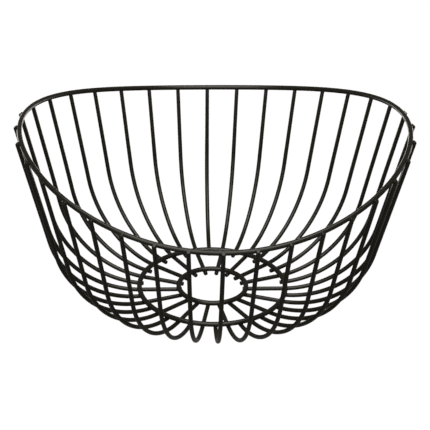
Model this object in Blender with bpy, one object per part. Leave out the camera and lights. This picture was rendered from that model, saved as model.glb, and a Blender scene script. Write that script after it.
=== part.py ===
"""Wire produce basket: a bowl of round wire, welded to a saddle-shaped rim hoop and two base rings.

Run it with: blender --background --python part.py

Units are metres. +Z is up, and z = 0 is the surface that the basket stands on. The origin is in the
middle of the base. +X points to one of the two high sides of the rim, and +Y to its low back.
"""

from math import asin, atan2, cos, hypot, pi, radians, sin, tan

import bpy

OBJECT_NAME = "wire_produce_basket"

# Stock: the hoop wire makes the rim and both base rings, and the side wire makes everything else.
SIDE_WIRE_DIAMETER = 0.0034
HOOP_WIRE_DIAMETER = 0.0040

# Rim hoop, along its centre line: an ellipse in plan, high at +X and -X, low at +Y and -Y.
RIM_HALF_WIDTH = 0.150
RIM_HALF_DEPTH = 0.140
RIM_MEAN_HEIGHT = 0.1305
RIM_SADDLE = 0.0160
RIM_SADDLE_PEAK = 0.0008

# Base: two round rings that lie on top of the side wires.
OUTER_RING_RADIUS = 0.0586
INNER_RING_RADIUS = 0.0270

# Side wires: 18 long ones reach the inner ring, and 18 short ones between them stop at the outer ring.
# Their inner ends pass the ring by a little. Their top ends pass the rim furthest at the front, at -Y,
# and least at the back.
# Their straight walls and their base would meet in a corner at CORNER_RADIUS, which the bend rounds off.
WIRES_PER_KIND = 18
WIRE_END_PAST_RING = 0.0026
WIRE_END_PAST_RIM = 0.0012
WIRE_END_PAST_RIM_SWING = 0.0012
BASE_SLOPE = radians(2.1)
CORNER_RADIUS = 0.1163
BEND_RADIUS = 0.0750

# Pieces that are welded together in the real basket keep this gap here.
WELD_GAP = 0.0003

# Facets of each bend, hoop and wire section
BEND_SEGMENTS = 9
RIM_SEGMENTS = 72
RING_SEGMENTS = 36
SECTION_SIDES = 8

# Dark satin coating
COATING_COLOR = (0.020, 0.019, 0.017, 1.0)
COATING_ROUGHNESS = 0.38
COATING_METALLIC = 0.0

# Heights and distances that follow from the sizes above
SIDE_WIRE_RADIUS = SIDE_WIRE_DIAMETER / 2
HOOP_WIRE_RADIUS = HOOP_WIRE_DIAMETER / 2
WELD_DISTANCE = SIDE_WIRE_RADIUS + WELD_GAP + HOOP_WIRE_RADIUS
BASE_HEIGHT = SIDE_WIRE_RADIUS
RING_HEIGHT = BASE_HEIGHT + WELD_DISTANCE
CORNER_HEIGHT = BASE_HEIGHT + (CORNER_RADIUS - OUTER_RING_RADIUS) * tan(BASE_SLOPE)


def clear_scene():
    for old in list(bpy.data.objects):
        bpy.data.objects.remove(old, do_unlink=True)


def make_coating(name):
    material = bpy.data.materials.new(name)
    material.use_nodes = True
    shader = material.node_tree.nodes["Principled BSDF"]
    shader.inputs["Base Color"].default_value = COATING_COLOR
    shader.inputs["Roughness"].default_value = COATING_ROUGHNESS
    shader.inputs["Metallic"].default_value = COATING_METALLIC
    material.diffuse_color = COATING_COLOR
    return material


def rim_radius(azimuth):
    """Plan radius of the rim's centre line: the polar form of its ellipse."""
    across = RIM_HALF_DEPTH * cos(azimuth)
    along = RIM_HALF_WIDTH * sin(azimuth)
    return RIM_HALF_WIDTH * RIM_HALF_DEPTH / hypot(across, along)


def rim_height(azimuth):
    """Height of the rim's centre line: a saddle whose peaks are a little sharper than its dips."""
    saddle = RIM_SADDLE * cos(2 * azimuth)
    return RIM_MEAN_HEIGHT + saddle + RIM_SADDLE_PEAK * cos(4 * azimuth)


def wire_end_past_rim(azimuth):
    return WIRE_END_PAST_RIM - WIRE_END_PAST_RIM_SWING * sin(azimuth)


def evenly_spaced(count):
    return [2 * pi * step / count for step in range(count)]


def rim_path():
    path = []
    for azimuth in evenly_spaced(RIM_SEGMENTS):
        radius = rim_radius(azimuth)
        path.append((radius * cos(azimuth), radius * sin(azimuth), rim_height(azimuth)))
    return path


def ring_path(radius):
    azimuths = evenly_spaced(RING_SEGMENTS)
    return [(radius * cos(azimuth), radius * sin(azimuth), 0.0) for azimuth in azimuths]


def side_wire_path(azimuth, ring_radius):
    """Centre line of a side wire in its own upright plane, with x as the distance from the middle.

    The wall is a straight line from the corner, where wall and base would meet, and it passes just
    outside the rim. One round bend joins it to the base, which dips to the outer ring and is level
    from there in.
    """
    rise = rim_height(azimuth) - CORNER_HEIGHT
    reach = rim_radius(azimuth) - CORNER_RADIUS
    to_rim = hypot(reach, rise)
    wall_lean = atan2(reach, rise) + asin(WELD_DISTANCE / to_rim)
    wall_length = (to_rim**2 - WELD_DISTANCE**2) ** 0.5 + wire_end_past_rim(azimuth)

    turn = pi / 2 - wall_lean - BASE_SLOPE
    tangent = BEND_RADIUS * tan(turn / 2)
    start_x = CORNER_RADIUS + tangent * sin(wall_lean)
    start_z = CORNER_HEIGHT + tangent * cos(wall_lean)
    centre_x = start_x - BEND_RADIUS * cos(wall_lean)
    centre_z = start_z + BEND_RADIUS * sin(wall_lean)

    top_x = CORNER_RADIUS + wall_length * sin(wall_lean)
    top_z = CORNER_HEIGHT + wall_length * cos(wall_lean)
    path = [(top_x, 0.0, top_z)]
    for step in range(BEND_SEGMENTS + 1):
        swung = -wall_lean - turn * step / BEND_SEGMENTS
        bend_x = centre_x + BEND_RADIUS * cos(swung)
        bend_z = centre_z + BEND_RADIUS * sin(swung)
        path.append((bend_x, 0.0, bend_z))
    path.append((OUTER_RING_RADIUS, 0.0, BASE_HEIGHT))
    path.append((ring_radius - WIRE_END_PAST_RING, 0.0, BASE_HEIGHT))
    return path


def add_wire(name, path, diameter, closed, material, collection, parent):
    """Round wire along a path, as a curve whose section has flat facets above, below and beside it."""
    curve = bpy.data.curves.new(name, "CURVE")
    curve.dimensions = "3D"
    curve.twist_mode = "Z_UP"
    curve.bevel_depth = diameter / 2 / cos(pi / SECTION_SIDES)
    curve.bevel_resolution = SECTION_SIDES // 2 - 2
    curve.use_fill_caps = True
    spline = curve.splines.new("POLY")
    spline.points.add(len(path) - 1)
    for point, place in zip(spline.points, path):
        point.co = (*place, 1.0)
        point.tilt = pi / SECTION_SIDES
    spline.use_cyclic_u = closed
    spline.use_smooth = True
    curve.materials.append(material)
    wire = bpy.data.objects.new(name, curve)
    wire.parent = parent
    collection.objects.link(wire)
    return wire


def add_rim_hoop(collection, parent):
    coating = make_coating("rim_coating")
    add_wire("rim_hoop", rim_path(), HOOP_WIRE_DIAMETER, True, coating, collection, parent)


def add_base_rings(collection, parent):
    coating = make_coating("base_ring_coating")
    radii = {"outer_base_ring": OUTER_RING_RADIUS, "inner_base_ring": INNER_RING_RADIUS}
    for name, radius in radii.items():
        path = ring_path(radius)
        ring = add_wire(name, path, HOOP_WIRE_DIAMETER, True, coating, collection, parent)
        ring.location.z = RING_HEIGHT


def add_side_wires(kind, first_azimuth, ring_radius, collection, parent):
    coating = make_coating(f"{kind}_side_wire_coating")
    for number, step in enumerate(evenly_spaced(WIRES_PER_KIND), start=1):
        azimuth = first_azimuth + step
        name = f"{kind}_side_wire_{number:02d}"
        path = side_wire_path(azimuth, ring_radius)
        wire = add_wire(name, path, SIDE_WIRE_DIAMETER, False, coating, collection, parent)
        wire.rotation_euler.z = azimuth


def main():
    clear_scene()
    collection = bpy.data.collections.new(OBJECT_NAME)
    bpy.context.scene.collection.children.link(collection)
    basket = bpy.data.objects.new(OBJECT_NAME, None)
    collection.objects.link(basket)

    add_rim_hoop(collection, basket)
    add_base_rings(collection, basket)
    half_pitch = pi / WIRES_PER_KIND
    add_side_wires("long", 0.0, INNER_RING_RADIUS, collection, basket)
    add_side_wires("short", half_pitch, OUTER_RING_RADIUS, collection, basket)


main()
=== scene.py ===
"""Looks of the wire produce basket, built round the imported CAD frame.

Every CAD wire is replaced by a round one with a smooth bend and softened cut ends. It follows the
same centre line, apart from the little that welding presses crossed wires together. A weld fillet
joins each side wire to the rim hoop and to the base rings that it crosses, and one satin black
coating covers everything. Units are metres, in the CAD frame.
"""

from math import asin, atan2, cos, hypot, pi, radians, sin, sqrt, tan

import bmesh
import bpy
from mathutils import Matrix, Vector


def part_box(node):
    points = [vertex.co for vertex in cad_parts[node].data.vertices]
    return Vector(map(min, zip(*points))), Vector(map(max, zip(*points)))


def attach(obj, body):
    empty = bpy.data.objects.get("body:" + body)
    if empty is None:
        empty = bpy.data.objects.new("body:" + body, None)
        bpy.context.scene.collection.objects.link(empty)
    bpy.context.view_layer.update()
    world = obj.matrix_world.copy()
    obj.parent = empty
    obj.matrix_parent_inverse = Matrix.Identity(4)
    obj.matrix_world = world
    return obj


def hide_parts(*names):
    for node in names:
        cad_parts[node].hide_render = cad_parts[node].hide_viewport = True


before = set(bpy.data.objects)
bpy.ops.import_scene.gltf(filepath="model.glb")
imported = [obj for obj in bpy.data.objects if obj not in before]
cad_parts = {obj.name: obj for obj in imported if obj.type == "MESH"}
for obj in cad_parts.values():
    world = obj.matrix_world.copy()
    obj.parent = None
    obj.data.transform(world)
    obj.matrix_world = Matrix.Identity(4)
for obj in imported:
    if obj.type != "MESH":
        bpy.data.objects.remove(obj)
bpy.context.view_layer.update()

BODY = "root"

# Shape of the side wires and of the rim that a box can't give
WIRES_PER_KIND = 18
BASE_SLOPE = radians(2.1)
CORNER_RADIUS = 0.1163
BEND_RADIUS = 0.0750
RIM_SADDLE_PEAK = 0.0008

# Fineness of the round wires
RIM_STEPS = 288
OUTER_RING_STEPS = 144
INNER_RING_STEPS = 96
BEND_STEPS = 36
WALL_STEPS = 6
BASE_STEPS = 3
HOOP_SIDES = 20
SIDE_WIRE_SIDES = 16

# Welding presses crossed wires into each other. It brings them this much closer than they are in
# the CAD, where they keep a gap.
WELD_PRESS = 0.0009

# Cut ends of the side wires: the top ones pass the rim furthest at the front, at -Y, and least at
# the back. They slope up to the rim, and the coating rounds their edge.
END_PAST_RIM = 0.0012
END_PAST_RIM_SWING = 0.0012
END_SLANT = radians(22)
END_ROUNDING = 0.00045
END_ROUNDING_STEPS = 4

# Faces that meet at more than this angle keep a sharp edge.
SHARP_ANGLE = radians(50)

# Weld fillets: how wide a crevice they fill, how far their sides are hollowed, how far their toes
# run out along each wire, how deep they are rooted in it, and how far they reach past the middle of
# a wire's sloping end.
FILLET_OPENING = 0.00105
FILLET_HOLLOW = 0.00045
FILLET_TOE = 0.0006
FILLET_ROOT = 0.00025
FILLET_END = 0.00045
FILLET_SIDES = 28
FILLET_RINGS = 8
FILLET_HALVINGS = 24

# The rim's direction at a weld is taken over this much of it to either side.
RIM_TANGENT_STEP = radians(0.5)

# Coating: its black varies between two shades, and its gloss between two values of roughness.
COATING_DARK = (0.0105, 0.0095, 0.0066, 1.0)
COATING_LIGHT = (0.0155, 0.0141, 0.0099, 1.0)
COATING_IOR = 1.5
COATING_SPECULAR = 0.42
COATING_SMOOTHEST = 0.17
COATING_ROUGHEST = 0.29
COATING_BUMP = 0.00002
COATING_BUMP_STRENGTH = 0.5

# The coating's noises: the size of their features, their detail, and the range that holds nearly
# all of their values
MOTTLE_SIZE = 0.018
MOTTLE_DETAIL = 3.0
GLOSS_SIZE = 0.006
GLOSS_DETAIL = 4.0
PEEL_SIZE = 0.0011
PEEL_DETAIL = 2.0
NOISE_LOW = 0.3
NOISE_HIGH = 0.7

# Camera
CAMERA_TURN = radians(-3.06)
CAMERA_ELEVATION = radians(28.68)
CAMERA_ROLL = radians(1.125)
CAMERA_DISTANCE = 1.502
CAMERA_LENS_MM = 159.6
CAMERA_CLIP_END = 50
AIM_HEIGHT = 0.0696
AIM_SIDE = 0.001

# Studio: a white floor that curves up into a round wall
STUDIO_RADIUS = 6.0
STUDIO_HEIGHT = 6.0
COVE_RADIUS = 2.0
COVE_STEPS = 16
STUDIO_SIDES = 96
STUDIO_GLOW = (1.02, 1.02, 1.02, 1.0)
BLACK = (0.0, 0.0, 0.0, 1.0)
MERGE_DISTANCE = 0.0001

# Slightly warm light: a faint even sky, and softboxes by place, aim, size and power in watts. The
# low one lies behind the basket, just above the floor, and faces up.
LIGHT_TINT = (1.0, 0.96, 0.88)
SKY_STRENGTH = 0.15
BASKET_MIDDLE = (0, 0, 0.07)
SOFTBOXES = {
    "overhead": ((0, -0.45, 1.6), BASKET_MIDDLE, (1.4, 1.9), 24),
    "front": ((-0.3, -2.0, 1.1), BASKET_MIDDLE, (2.6, 1.8), 14),
    "low_behind": ((0, 0.86, 0.002), (0, 0.86, 1), (2.4, 1.2), 24),
}


def box_size(node):
    low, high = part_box(node)
    return high - low


# Sizes read from the frame
HOOP_RADIUS = box_size("outer_base_ring").z / 2
SIDE_RADIUS = box_size("long_side_wire_01").y / 2
OUTER_RING_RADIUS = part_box("outer_base_ring")[1].x - HOOP_RADIUS
INNER_RING_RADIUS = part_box("inner_base_ring")[1].x - HOOP_RADIUS
LONG_WIRE_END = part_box("long_side_wire_01")[0].x
RIM_LOW, RIM_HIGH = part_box("rim_hoop")
RIM_HALF_WIDTH = RIM_HIGH.x - HOOP_RADIUS
RIM_HALF_DEPTH = RIM_HIGH.y - HOOP_RADIUS
RIM_SADDLE = (RIM_HIGH.z - RIM_LOW.z) / 2 - HOOP_RADIUS
RIM_MEAN_HEIGHT = (RIM_HIGH.z + RIM_LOW.z) / 2 - RIM_SADDLE_PEAK
BASE_HEIGHT = SIDE_RADIUS
RING_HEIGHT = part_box("outer_base_ring")[1].z - HOOP_RADIUS - WELD_PRESS
WELD_DISTANCE = RING_HEIGHT - BASE_HEIGHT
END_PAST_RING = INNER_RING_RADIUS - LONG_WIRE_END
CORNER_HEIGHT = BASE_HEIGHT + (CORNER_RADIUS - OUTER_RING_RADIUS) * tan(BASE_SLOPE)


# ---------------------------------------------------------------------------------------------
# Centre lines
# ---------------------------------------------------------------------------------------------


def rim_radius(azimuth):
    """Plan radius of the rim's centre line: the polar form of its ellipse."""
    across = RIM_HALF_DEPTH * cos(azimuth)
    along = RIM_HALF_WIDTH * sin(azimuth)
    return RIM_HALF_WIDTH * RIM_HALF_DEPTH / hypot(across, along)


def rim_height(azimuth):
    """Height of the rim's centre line: a saddle whose peaks are a little sharper than its dips."""
    saddle = RIM_SADDLE * cos(2 * azimuth)
    return RIM_MEAN_HEIGHT + saddle + RIM_SADDLE_PEAK * cos(4 * azimuth)


def rim_point(azimuth):
    radius = rim_radius(azimuth)
    return Vector((radius * cos(azimuth), radius * sin(azimuth), rim_height(azimuth)))


def circle_point(radius, height, azimuth):
    return Vector((radius * cos(azimuth), radius * sin(azimuth), height))


def evenly_spaced(count, first=0.0):
    return [first + 2 * pi * step / count for step in range(count)]


def shares(count):
    """0 to 1 in that many equal steps, both ends included."""
    return [step / count for step in range(count + 1)]


def end_past_rim(azimuth):
    return END_PAST_RIM - END_PAST_RIM_SWING * sin(azimuth)


def wall_line(azimuth):
    """Lean of a side wire's wall from upright, and its length from the corner to its top end."""
    rise = rim_height(azimuth) - CORNER_HEIGHT
    reach = rim_radius(azimuth) - CORNER_RADIUS
    to_rim = hypot(reach, rise)
    lean = atan2(reach, rise) + asin(WELD_DISTANCE / to_rim)
    return lean, sqrt(to_rim**2 - WELD_DISTANCE**2) + end_past_rim(azimuth)


def side_wire_profile(azimuth, end_radius):
    """Centre line of a side wire, from its top to its inner end.

    Each point is (distance from the basket's middle, height).
    """
    lean, length = wall_line(azimuth)
    turn = pi / 2 - lean - BASE_SLOPE
    tangent = BEND_RADIUS * tan(turn / 2)
    up = Vector((sin(lean), cos(lean)))
    inward = Vector((-cos(lean), sin(lean)))
    corner = Vector((CORNER_RADIUS, CORNER_HEIGHT))
    top = corner + up * length
    bend_start = corner + up * tangent
    centre = bend_start + inward * BEND_RADIUS

    profile = [top.lerp(bend_start, share) for share in shares(WALL_STEPS)[:-1]]
    for share in shares(BEND_STEPS):
        swung = -lean - turn * share
        profile.append(centre + BEND_RADIUS * Vector((cos(swung), sin(swung))))
    ring_foot = Vector((OUTER_RING_RADIUS, BASE_HEIGHT))
    end = Vector((end_radius, BASE_HEIGHT))
    profile += [ring_foot.lerp(end, share) for share in shares(BASE_STEPS)]
    return profile


# ---------------------------------------------------------------------------------------------
# Meshes
# ---------------------------------------------------------------------------------------------


def add_ring(mesh, centre, across, over, radius, sides, shear=Vector()):
    """Vertices of one round section, spanned by the unit vectors across and over.

    Each vertex moves by shear times its height along over, which slopes the section.
    """
    ring = []
    for angle in evenly_spaced(sides):
        height = radius * sin(angle)
        offset = radius * cos(angle) * across + height * (over + shear)
        ring.append(mesh.verts.new(centre + offset))
    return ring


def bridge(mesh, first, second):
    count = len(first)
    for i in range(count):
        following = (i + 1) % count
        mesh.faces.new((first[i], first[following], second[following], second[i]))


def finish_mesh(mesh, name):
    """New object from a closed bmesh, with its faces pointing out, smooth except at sharp edges."""
    bmesh.ops.recalc_face_normals(mesh, faces=mesh.faces)
    data = bpy.data.meshes.new(name)
    mesh.to_mesh(data)
    mesh.free()
    data.shade_smooth()
    data.set_sharp_from_angle(angle=SHARP_ANGLE)
    piece = bpy.data.objects.new(name, data)
    bpy.context.scene.collection.objects.link(piece)
    return piece


def closed_tube(name, path, radius, sides):
    """Round wire along a closed path that never runs straight up."""
    mesh = bmesh.new()
    rings = []
    count = len(path)
    for i, centre in enumerate(path):
        along = (path[(i + 1) % count] - path[i - 1]).normalized()
        across = along.cross(Vector((0, 0, 1))).normalized()
        rings.append(add_ring(mesh, centre, across, across.cross(along), radius, sides))
    for i in range(count):
        bridge(mesh, rings[i - 1], rings[i])
    return finish_mesh(mesh, name)


def rounded_end(mesh, centre, outward, across, over, radius, sides, slant=0.0):
    """Sections from a wire's full width to its flat cut end, round the edge of the coating."""
    shear = outward * tan(slant)
    rings = []
    for share in shares(END_ROUNDING_STEPS):
        angle = share * pi / 2
        back = END_ROUNDING * (1 - sin(angle))
        narrowing = END_ROUNDING * (1 - cos(angle))
        ring_centre = centre - outward * back
        width = radius - narrowing
        rings.append(add_ring(mesh, ring_centre, across, over, width, sides, shear))
    mesh.faces.new(rings[-1])
    return rings


def open_tube(name, profile, azimuth, radius, sides):
    """Round wire along a profile in the upright plane at that azimuth, with two cut ends."""
    mesh = bmesh.new()
    plan = Vector((cos(azimuth), sin(azimuth), 0))
    side = Vector((-sin(azimuth), cos(azimuth), 0))
    path = [plan * reach + Vector((0, 0, height)) for reach, height in profile]

    top_along = (path[0] - path[1]).normalized()
    inner_along = (path[-1] - path[-2]).normalized()
    inward = side.cross(-top_along)
    upward = side.cross(inner_along)
    top = rounded_end(mesh, path[0], top_along, side, inward, radius, sides, END_SLANT)
    inner = rounded_end(mesh, path[-1], inner_along, side, upward, radius, sides)

    rings = top[::-1]
    for before, centre, after in zip(path, path[1:-1], path[2:]):
        along = (after - before).normalized()
        rings.append(add_ring(mesh, centre, side, side.cross(along), radius, sides))
    rings += inner
    for first, second in zip(rings, rings[1:]):
        bridge(mesh, first, second)
    return finish_mesh(mesh, name)


# ---------------------------------------------------------------------------------------------
# Weld fillets
# ---------------------------------------------------------------------------------------------


def crevice(reach, angle, lower, upper):
    """Heights of the two wires' surfaces on either side of the crevice between them.

    Heights are measured from the lower wire's axis. The lower wire runs along angle 0, and the
    upper one across it.
    """
    along = reach * cos(angle)
    across = reach * sin(angle)
    low = sqrt(max(lower**2 - across**2, 0.0))
    high = WELD_DISTANCE - sqrt(max(upper**2 - along**2, 0.0))
    return low, high


def fillet_reach(angle, lower, upper):
    """Distance from the weld's middle at which the crevice is as open as the fillet is tall."""
    near = 0.0
    far = min(lower, upper)
    for _ in range(FILLET_HALVINGS):
        middle = (near + far) / 2
        low, high = crevice(middle, angle, lower, upper)
        if high - low < FILLET_OPENING:
            near = middle
        else:
            far = middle
    return near


def add_fillet(mesh, place, lower, upper, end=None):
    """Weld fillet between two crossed wires: a closed spool, hollow in profile, rooted in both.

    place puts the lower wire's axis on X and the upper wire's on Y, one above the other along Z.
    Where the upper wire ends just past the crossing, end is how far along +Y, and the spool is
    squashed on that side to stay beside it.
    """
    squash = 1.0
    if end is not None:
        squash = min(1.0, (end + FILLET_END) / fillet_reach(pi / 2, lower, upper))
    toes = []
    for angle in evenly_spaced(FILLET_SIDES):
        reach = fillet_reach(angle, lower, upper)
        low_reach = reach + FILLET_TOE * cos(angle) ** 2
        high_reach = reach + FILLET_TOE * sin(angle) ** 2
        low = crevice(low_reach, angle, lower, upper)[0] - FILLET_ROOT
        high = crevice(high_reach, angle, lower, upper)[1] + FILLET_ROOT
        toes.append((angle, Vector((low_reach, low)), Vector((high_reach, high))))
    rings = []
    for share in shares(FILLET_RINGS):
        ring = []
        for angle, low_toe, high_toe in toes:
            reach, height = low_toe.lerp(high_toe, share)
            reach -= FILLET_HOLLOW * sin(pi * share)
            across = reach * sin(angle)
            if across > 0:
                across *= squash
            ring.append(mesh.verts.new(place @ Vector((reach * cos(angle), across, height))))
        rings.append(ring)
    for first, second in zip(rings, rings[1:]):
        bridge(mesh, first, second)
    mesh.faces.new(rings[0])
    mesh.faces.new(rings[-1])


def crossing(origin, lower_along, towards_upper):
    """Matrix of a weld's own axes.

    The lower wire runs along X and the upper one along Y, and Z points from lower to upper.
    """
    across = towards_upper.cross(lower_along)
    axes = Matrix((lower_along, across, towards_upper)).transposed().to_4x4()
    return Matrix.Translation(origin) @ axes


def ring_welds(name, ring_radius, azimuths):
    """One fillet at each crossing of a base ring, above, and a side wire, below."""
    mesh = bmesh.new()
    for azimuth in azimuths:
        origin = circle_point(ring_radius, BASE_HEIGHT, azimuth)
        along = Vector((cos(azimuth), sin(azimuth), 0))
        place = crossing(origin, along, Vector((0, 0, 1)))
        add_fillet(mesh, place, SIDE_RADIUS, HOOP_RADIUS)
    return finish_mesh(mesh, name)


def rim_welds(name, azimuths):
    """One fillet between the rim's outer side and each side wire's top end.

    The rim runs along X of a weld's own axes, and Y points up the wire to its cut end.
    """
    mesh = bmesh.new()
    for azimuth in azimuths:
        lean, _ = wall_line(azimuth)
        plan = Vector((cos(azimuth), sin(azimuth), 0))
        outward = plan * cos(lean) - Vector((0, 0, sin(lean)))
        before = rim_point(azimuth - RIM_TANGENT_STEP)
        rim_along = rim_point(azimuth + RIM_TANGENT_STEP) - before
        rim_along = (rim_along - outward * rim_along.dot(outward)).normalized()
        place = crossing(rim_point(azimuth), rim_along, outward)
        add_fillet(mesh, place, HOOP_RADIUS, SIDE_RADIUS, end=end_past_rim(azimuth))
    return finish_mesh(mesh, name)


# ---------------------------------------------------------------------------------------------
# Coating
# ---------------------------------------------------------------------------------------------


def add_noise(nodes, links, coordinates, size, detail):
    """Noise whose features are about that size, in metres."""
    noise = nodes.new("ShaderNodeTexNoise")
    noise.inputs["Scale"].default_value = 1 / size
    noise.inputs["Detail"].default_value = detail
    links.new(coordinates, noise.inputs["Vector"])
    return noise


def make_coating(name):
    """Satin black: slightly mottled in colour and gloss, with a fine orange-peel surface."""
    material = bpy.data.materials.new(name)
    material.use_nodes = True
    nodes = material.node_tree.nodes
    links = material.node_tree.links
    shader = nodes["Principled BSDF"]
    shader.inputs["Metallic"].default_value = 0.0
    shader.inputs["IOR"].default_value = COATING_IOR
    shader.inputs["Specular IOR Level"].default_value = COATING_SPECULAR

    coordinates = nodes.new("ShaderNodeTexCoord").outputs["Object"]
    mottle = add_noise(nodes, links, coordinates, MOTTLE_SIZE, MOTTLE_DETAIL)
    color = nodes.new("ShaderNodeMix")
    color.data_type = "RGBA"
    color.inputs["A"].default_value = COATING_DARK
    color.inputs["B"].default_value = COATING_LIGHT
    links.new(mottle.outputs["Fac"], color.inputs["Factor"])
    links.new(color.outputs["Result"], shader.inputs["Base Color"])

    gloss = add_noise(nodes, links, coordinates, GLOSS_SIZE, GLOSS_DETAIL)
    roughness = nodes.new("ShaderNodeMapRange")
    roughness.inputs["From Min"].default_value = NOISE_LOW
    roughness.inputs["From Max"].default_value = NOISE_HIGH
    roughness.inputs["To Min"].default_value = COATING_SMOOTHEST
    roughness.inputs["To Max"].default_value = COATING_ROUGHEST
    links.new(gloss.outputs["Fac"], roughness.inputs["Value"])
    links.new(roughness.outputs["Result"], shader.inputs["Roughness"])

    peel = add_noise(nodes, links, coordinates, PEEL_SIZE, PEEL_DETAIL)
    bump = nodes.new("ShaderNodeBump")
    bump.inputs["Strength"].default_value = COATING_BUMP_STRENGTH
    bump.inputs["Distance"].default_value = COATING_BUMP
    links.new(peel.outputs["Fac"], bump.inputs["Height"])
    links.new(bump.outputs["Normal"], shader.inputs["Normal"])
    return material


def put_on(piece, material, slot, *nodes):
    """The piece takes its coating, rides on the one body and stands for those CAD nodes."""
    piece.data.materials.append(material)
    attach(piece, BODY)
    if nodes:
        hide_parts(*nodes)


# ---------------------------------------------------------------------------------------------
# Basket
# ---------------------------------------------------------------------------------------------


def make_rim(coating):
    path = [rim_point(azimuth) for azimuth in evenly_spaced(RIM_STEPS)]
    rim = closed_tube("rim_wire", path, HOOP_RADIUS, HOOP_SIDES)
    put_on(rim, coating, "rim_coating", "rim_hoop")


def make_base_ring(name, node, radius, steps, coating):
    path = [circle_point(radius, RING_HEIGHT, azimuth) for azimuth in evenly_spaced(steps)]
    ring = closed_tube(name, path, HOOP_RADIUS, HOOP_SIDES)
    put_on(ring, coating, "base_ring_coating", node)


def make_side_wires(kind, azimuths, ring_radius, coating):
    for number, azimuth in enumerate(azimuths, start=1):
        profile = side_wire_profile(azimuth, ring_radius - END_PAST_RING)
        name = f"{kind}_wire_{number:02d}"
        wire = open_tube(name, profile, azimuth, SIDE_RADIUS, SIDE_WIRE_SIDES)
        put_on(wire, coating, "side_wire_coating", f"{kind}_side_wire_{number:02d}")


def make_basket():
    long_azimuths = evenly_spaced(WIRES_PER_KIND)
    short_azimuths = evenly_spaced(WIRES_PER_KIND, first=pi / WIRES_PER_KIND)
    rim_coating = make_coating("rim_coating")
    ring_coating = make_coating("base_ring_coating")
    wire_coating = make_coating("side_wire_coating")

    make_rim(rim_coating)
    make_base_ring(
        "outer_ring_wire", "outer_base_ring", OUTER_RING_RADIUS, OUTER_RING_STEPS, ring_coating
    )
    make_base_ring(
        "inner_ring_wire", "inner_base_ring", INNER_RING_RADIUS, INNER_RING_STEPS, ring_coating
    )
    make_side_wires("long", long_azimuths, INNER_RING_RADIUS, wire_coating)
    make_side_wires("short", short_azimuths, OUTER_RING_RADIUS, wire_coating)

    every_azimuth = long_azimuths + short_azimuths
    put_on(rim_welds("rim_welds", every_azimuth), rim_coating, "rim_coating")
    outer = ring_welds("outer_ring_welds", OUTER_RING_RADIUS, every_azimuth)
    put_on(outer, ring_coating, "base_ring_coating")
    inner = ring_welds("inner_ring_welds", INNER_RING_RADIUS, long_azimuths)
    put_on(inner, ring_coating, "base_ring_coating")


# ---------------------------------------------------------------------------------------------
# Floor, light and camera
# ---------------------------------------------------------------------------------------------


def studio_profile():
    """Radius and height along the floor, the cove and the wall, from the middle out and up."""
    profile = [(0.0, 0.0)]
    for share in shares(COVE_STEPS):
        swung = pi / 2 * share
        out = STUDIO_RADIUS - COVE_RADIUS * (1 - sin(swung))
        profile.append((out, COVE_RADIUS * (1 - cos(swung))))
    profile.append((STUDIO_RADIUS, STUDIO_HEIGHT))
    return profile


def make_studio_white():
    """Even white that shows no shading, so that the floor and the wall look like one backdrop."""
    material = bpy.data.materials.new("white_floor")
    material.use_nodes = True
    shader = material.node_tree.nodes["Principled BSDF"]
    shader.inputs["Base Color"].default_value = BLACK
    shader.inputs["Specular IOR Level"].default_value = 0.0
    shader.inputs["Emission Color"].default_value = STUDIO_GLOW
    shader.inputs["Emission Strength"].default_value = 1.0
    return material


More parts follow.
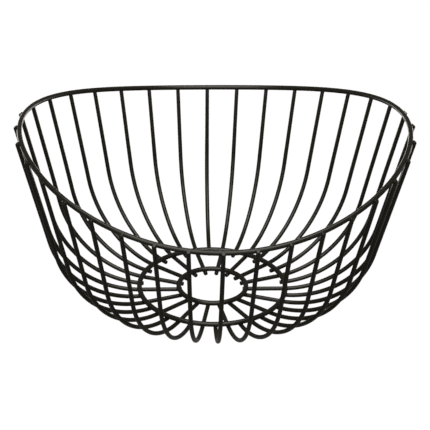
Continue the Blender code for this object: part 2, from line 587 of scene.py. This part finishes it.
def make_studio():
    """Floor and wall that only the camera sees.

    They light no wire, reflect in none and shade none.
    """
    mesh = bmesh.new()
    corners = [mesh.verts.new((out, 0, height)) for out, height in studio_profile()]
    edges = [mesh.edges.new(pair) for pair in zip(corners, corners[1:])]
    turn = {"cent": (0, 0, 0), "axis": (0, 0, 1), "angle": 2 * pi}
    bmesh.ops.spin(mesh, geom=corners + edges, steps=STUDIO_SIDES, **turn)
    bmesh.ops.remove_doubles(mesh, verts=mesh.verts[:], dist=MERGE_DISTANCE)
    for face in mesh.faces:
        face.smooth = True
    data = bpy.data.meshes.new("floor")
    mesh.to_mesh(data)
    mesh.free()
    data.materials.append(make_studio_white())
    floor = bpy.data.objects.new("floor", data)
    bpy.context.scene.collection.objects.link(floor)
    floor.visible_diffuse = False
    floor.visible_glossy = False
    floor.visible_shadow = False


def add_softbox(name, place, aim, size, power):
    light = bpy.data.lights.new(name, "AREA")
    light.shape = "RECTANGLE"
    light.size, light.size_y = size
    light.energy = power
    light.color = LIGHT_TINT
    lamp = bpy.data.objects.new(name, light)
    bpy.context.scene.collection.objects.link(lamp)
    lamp.visible_camera = False
    lamp.location = place
    lamp.rotation_mode = "QUATERNION"
    lamp.rotation_quaternion = (Vector(aim) - Vector(place)).to_track_quat("-Z", "Y")


def make_light():
    world = bpy.data.worlds.new("studio")
    world.use_nodes = True
    background = world.node_tree.nodes["Background"]
    background.inputs["Color"].default_value = (*LIGHT_TINT, 1.0)
    background.inputs["Strength"].default_value = SKY_STRENGTH
    bpy.context.scene.world = world
    for name, (place, aim, size, power) in SOFTBOXES.items():
        add_softbox(name, place, aim, size, power)


def make_camera():
    """Camera in front of the basket: a little to one side, looking down, and rolled a little."""
    turn = CAMERA_TURN
    elevation = CAMERA_ELEVATION
    right = Vector((cos(turn), sin(turn), 0))
    back = Vector((sin(turn) * cos(elevation), -cos(turn) * cos(elevation), sin(elevation)))
    up = back.cross(right)
    rolled_right = right * cos(CAMERA_ROLL) + up * sin(CAMERA_ROLL)
    rolled_up = up * cos(CAMERA_ROLL) - right * sin(CAMERA_ROLL)
    axes = Matrix((rolled_right, rolled_up, back)).transposed()

    data = bpy.data.cameras.new("camera")
    data.lens = CAMERA_LENS_MM
    data.clip_end = CAMERA_CLIP_END
    camera = bpy.data.objects.new("camera", data)
    bpy.context.scene.collection.objects.link(camera)
    aim = right * AIM_SIDE + Vector((0, 0, AIM_HEIGHT))
    camera.matrix_world = Matrix.Translation(aim + back * CAMERA_DISTANCE) @ axes.to_4x4()
    bpy.context.scene.camera = camera


# This view transform shows colours as they are, so the studio's white stays white.
bpy.context.scene.view_settings.view_transform = "Standard"
make_basket()
make_studio()
make_light()
make_camera()
